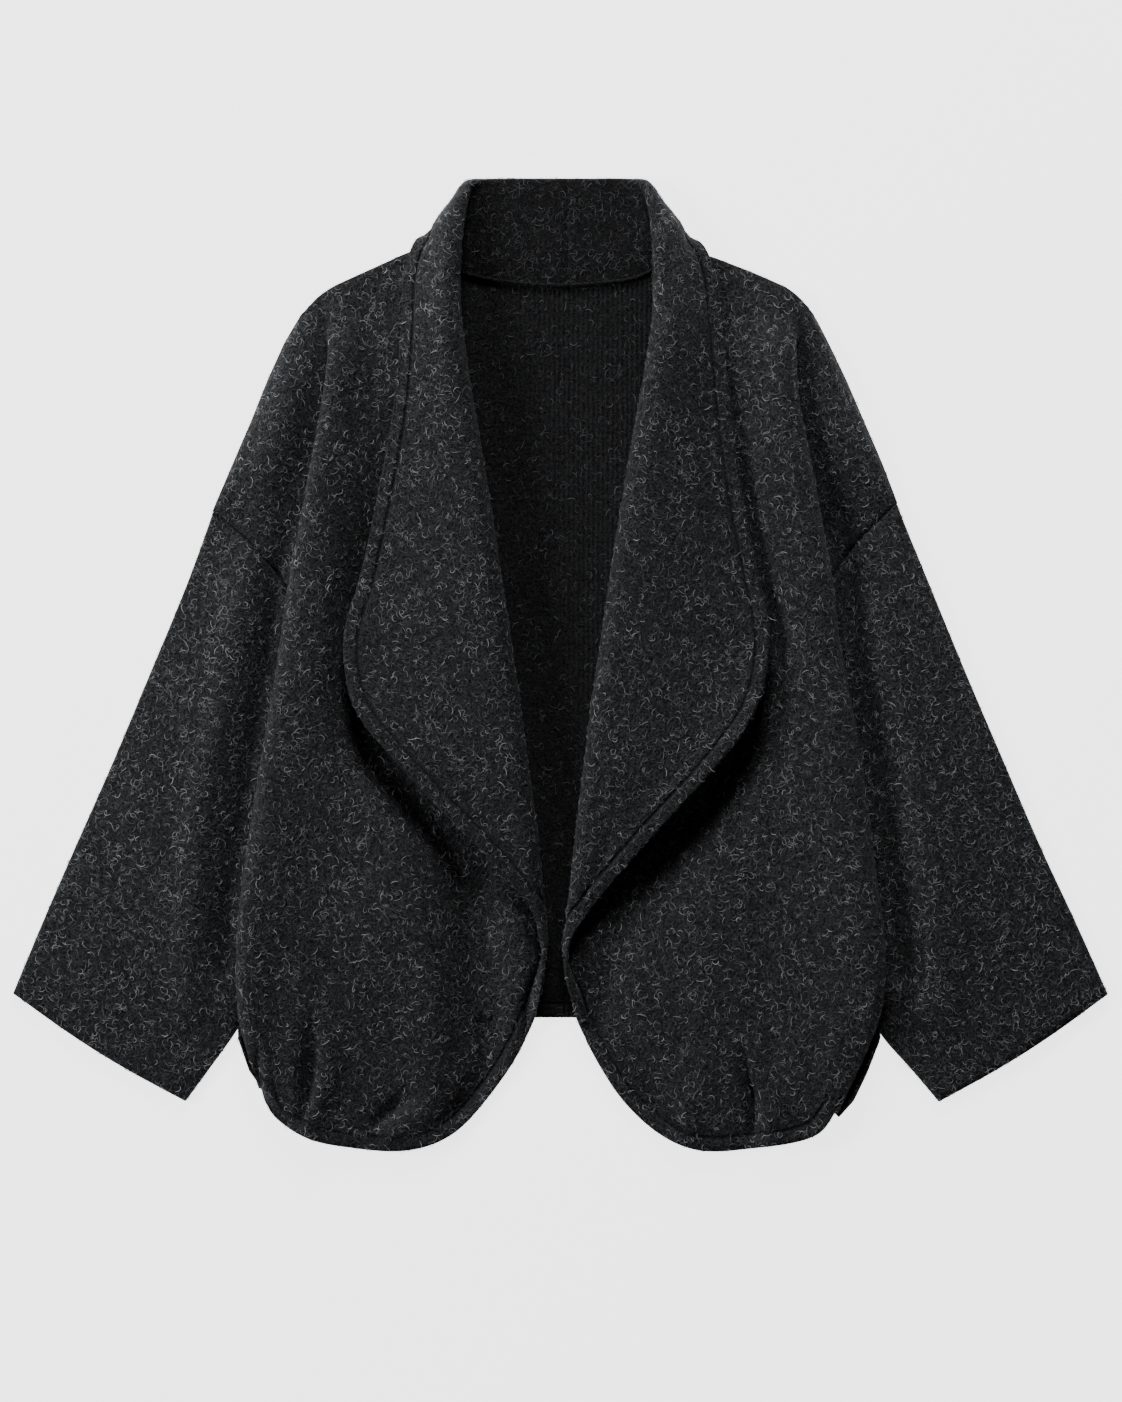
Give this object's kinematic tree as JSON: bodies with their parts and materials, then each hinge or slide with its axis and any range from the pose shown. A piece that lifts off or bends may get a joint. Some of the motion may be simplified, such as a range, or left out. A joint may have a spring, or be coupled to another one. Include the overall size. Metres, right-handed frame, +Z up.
{
  "type": "collared cardigan",
  "caption": "Open-front cardigan of boiled wool with a wide shawl collar, dropped shoulders, wide sleeves and rounded front hems, laid flat face up.",
  "frame": {"origin": "centre of the bounding box, on the surface the garment lies on", "axes": "+Z up from the surface, +Y from hem to collar, +X towards the wearer's left sleeve"},
  "size_m": [0.844, 0.7492, 0.0362],
  "materials": {
    "back": "matte charcoal boiled wool",
    "back_neck_tape": "matte charcoal wool cord",
    "front_with_shawl_collar_right": "matte charcoal boiled wool",
    "front_with_shawl_collar_left": "matte charcoal boiled wool",
    "sleeve_right": "matte charcoal boiled wool",
    "sleeve_left": "matte charcoal boiled wool"
  },
  "bodies": {
    "root": {"back": "back", "back_neck_tape": "back_neck_tape", "front_with_shawl_collar_right": "front_with_shawl_collar_right", "front_with_shawl_collar_left": "front_with_shawl_collar_left", "sleeve_right": "sleeve_right", "sleeve_left": "sleeve_left"}
  },
  "joints": []
}
